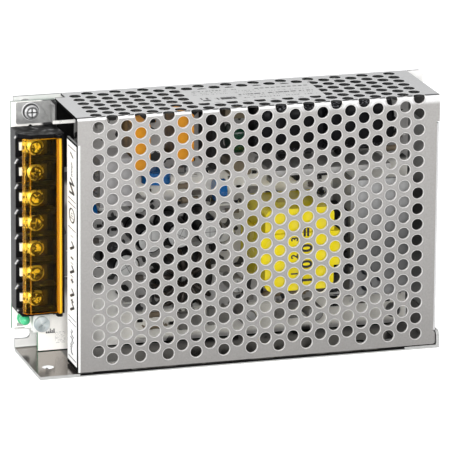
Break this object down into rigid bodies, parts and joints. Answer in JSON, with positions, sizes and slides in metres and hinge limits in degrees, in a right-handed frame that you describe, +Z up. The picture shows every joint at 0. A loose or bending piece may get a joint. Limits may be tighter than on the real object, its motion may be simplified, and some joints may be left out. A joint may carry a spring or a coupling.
{
  "type": "enclosed switching power supply",
  "caption": "Enclosed switching power supply with a perforated folded cover, open screw terminals under an amber flap, and a populated circuit board inside.",
  "frame": {"origin": "bottom centre of the bounding box, on the surface that the supply stands on", "axes": "+X along the length, from the terminals to the mounting ear; -Y is the perforated front and +Y the base plate; +Z up, across the width"},
  "size_m": [0.1606, 0.039, 0.0971],
  "materials": {
    "chassis_steel": "galvanised sheet, semi-gloss",
    "cover_steel": "zinc-plated sheet, satin, punched",
    "zinc_screw": "bright zinc plate",
    "label_white": "printed film, satin",
    "label_silver": "printed silver film, satin",
    "insulation": "milky film, matt",
    "board_white": "white coated laminate",
    "earth_metal": "pressed plate, matt",
    "block_black": "moulded, satin",
    "tin_plate": "tinned brass, bright",
    "flap_amber": "transparent amber moulding, glossy",
    "trimmer_blue": "moulded, satin",
    "trimmer_white": "moulded, satin",
    "led_green": "cast resin, glossy",
    "fuse_ceramic": "glazed tube with plated caps",
    "ferrite": "sintered, matt",
    "copper_enamel": "enamelled copper wire",
    "capacitor_orange": "moulded box, satin",
    "disc_blue": "dipped epoxy, glossy",
    "disc_green": "dipped epoxy, glossy",
    "film_tan": "dipped epoxy, satin",
    "resin_black": "moulded epoxy, matt",
    "sleeve_black": "shrunk sleeve, satin",
    "sink_aluminium": "plain plate, satin",
    "tape_yellow": "polyester tape, glossy",
    "powder_core": "coated powder core, satin",
    "resistor_tan": "lacquered, satin"
  },
  "bodies": {
    "case": {"chassis": "chassis_steel", "cover": "cover_steel", "cover_screws": "zinc_screw", "terminal_label": "label_white", "rating_label": "label_silver", "insulation_film": "insulation", "pcb_standoffs": "zinc_screw", "pcb": "board_white", "pcb_screws": "zinc_screw", "earth_bracket": "earth_metal", "earth_screw": "zinc_screw", "terminal_block": "block_black", "terminal_plates": "tin_plate", "trimmer_body": "trimmer_blue", "status_led": "led_green", "fuse": "fuse_ceramic", "choke_core": "ferrite", "choke_windings": "copper_enamel", "x_capacitor_1": "capacitor_orange", "x_capacitor_2": "capacitor_orange", "varistor": "disc_blue", "y_capacitors": "disc_blue", "ntc_thermistor": "disc_green", "film_capacitors": "film_tan", "bridge_rectifier": "resin_black", "bulk_capacitor_1": "sleeve_black", "bulk_capacitor_2": "sleeve_black", "primary_heatsink": "sink_aluminium", "switching_transistor": "resin_black", "transformer_core": "tape_yellow", "transformer_winding": "tape_yellow", "secondary_heatsink": "sink_aluminium", "rectifier_diodes": "resin_black", "heatsink_screws": "zinc_screw", "inductor_core": "powder_core", "inductor_winding": "copper_enamel", "output_capacitors": "sleeve_black", "small_capacitors": "sleeve_black", "resistors": "resistor_tan", "control_chips": "resin_black", "wire_jumpers": "tin_plate"},
    "flap": {"terminal_flap": "flap_amber"},
    "trimmer": {"trimmer_rotor": "trimmer_white"},
    "clamp_1": {"clamp_1": "zinc_screw"},
    "screw_1": {"terminal_screw_1": "zinc_screw"},
    "clamp_2": {"clamp_2": "zinc_screw"},
    "screw_2": {"terminal_screw_2": "zinc_screw"},
    "clamp_3": {"clamp_3": "zinc_screw"},
    "screw_3": {"terminal_screw_3": "zinc_screw"},
    "clamp_4": {"clamp_4": "zinc_screw"},
    "screw_4": {"terminal_screw_4": "zinc_screw"},
    "clamp_5": {"clamp_5": "zinc_screw"},
    "screw_5": {"terminal_screw_5": "zinc_screw"},
    "clamp_6": {"clamp_6": "zinc_screw"},
    "screw_6": {"terminal_screw_6": "zinc_screw"},
    "clamp_7": {"clamp_7": "zinc_screw"},
    "screw_7": {"terminal_screw_7": "zinc_screw"}
  },
  "joints": [
    {"name": "flap_hinge", "type": "hinge", "parent": "case", "child": "flap", "pos_m": [-0.066, -0.0037, 0.053], "axis": [0, 0, 1], "range_deg": [0, 95]},
    {"name": "trimmer_turn", "type": "hinge", "parent": "case", "child": "trimmer", "pos_m": [-0.06995, 0.0075, 0.013], "axis": [0, -1, 0], "range_deg": [-130, 130]},
    {"name": "clamp_1_lift", "type": "slide", "parent": "case", "child": "clamp_1", "axis": [0, -1, 0], "range_m": [0, 0.0022]},
    {"name": "screw_1_turn", "type": "hinge", "parent": "clamp_1", "child": "screw_1", "pos_m": [-0.07365, 0.0035, 0.08205], "axis": [0, -1, 0], "range_deg": [0, 1320.1]},
    {"name": "clamp_2_lift", "type": "slide", "parent": "case", "child": "clamp_2", "axis": [0, -1, 0], "range_m": [0, 0.0022]},
    {"name": "screw_2_turn", "type": "hinge", "parent": "clamp_2", "child": "screw_2", "pos_m": [-0.07365, 0.0035, 0.07255], "axis": [0, -1, 0], "range_deg": [0, 1320.1]},
    {"name": "clamp_3_lift", "type": "slide", "parent": "case", "child": "clamp_3", "axis": [0, -1, 0], "range_m": [0, 0.0022]},
    {"name": "screw_3_turn", "type": "hinge", "parent": "clamp_3", "child": "screw_3", "pos_m": [-0.07365, 0.0035, 0.06305], "axis": [0, -1, 0], "range_deg": [0, 1320.1]},
    {"name": "clamp_4_lift", "type": "slide", "parent": "case", "child": "clamp_4", "axis": [0, -1, 0], "range_m": [0, 0.0022]},
    {"name": "screw_4_turn", "type": "hinge", "parent": "clamp_4", "child": "screw_4", "pos_m": [-0.07365, 0.0035, 0.05355], "axis": [0, -1, 0], "range_deg": [0, 1320.1]},
    {"name": "clamp_5_lift", "type": "slide", "parent": "case", "child": "clamp_5", "axis": [0, -1, 0], "range_m": [0, 0.0022]},
    {"name": "screw_5_turn", "type": "hinge", "parent": "clamp_5", "child": "screw_5", "pos_m": [-0.07365, 0.0035, 0.04405], "axis": [0, -1, 0], "range_deg": [0, 1320.1]},
    {"name": "clamp_6_lift", "type": "slide", "parent": "case", "child": "clamp_6", "axis": [0, -1, 0], "range_m": [0, 0.0022]},
    {"name": "screw_6_turn", "type": "hinge", "parent": "clamp_6", "child": "screw_6", "pos_m": [-0.07365, 0.0035, 0.03455], "axis": [0, -1, 0], "range_deg": [0, 1320.1]},
    {"name": "clamp_7_lift", "type": "slide", "parent": "case", "child": "clamp_7", "axis": [0, -1, 0], "range_m": [0, 0.0022]},
    {"name": "screw_7_turn", "type": "hinge", "parent": "clamp_7", "child": "screw_7", "pos_m": [-0.07365, 0.0035, 0.02505], "axis": [0, -1, 0], "range_deg": [0, 1320.1]}
  ],
  "couplings": [
    {"joint": "screw_1_turn", "follows": "clamp_1_lift", "rad_per_m": 10472},
    {"joint": "screw_2_turn", "follows": "clamp_2_lift", "rad_per_m": 10472},
    {"joint": "screw_3_turn", "follows": "clamp_3_lift", "rad_per_m": 10472},
    {"joint": "screw_4_turn", "follows": "clamp_4_lift", "rad_per_m": 10472},
    {"joint": "screw_5_turn", "follows": "clamp_5_lift", "rad_per_m": 10472},
    {"joint": "screw_6_turn", "follows": "clamp_6_lift", "rad_per_m": 10472},
    {"joint": "screw_7_turn", "follows": "clamp_7_lift", "rad_per_m": 10472}
  ]
}
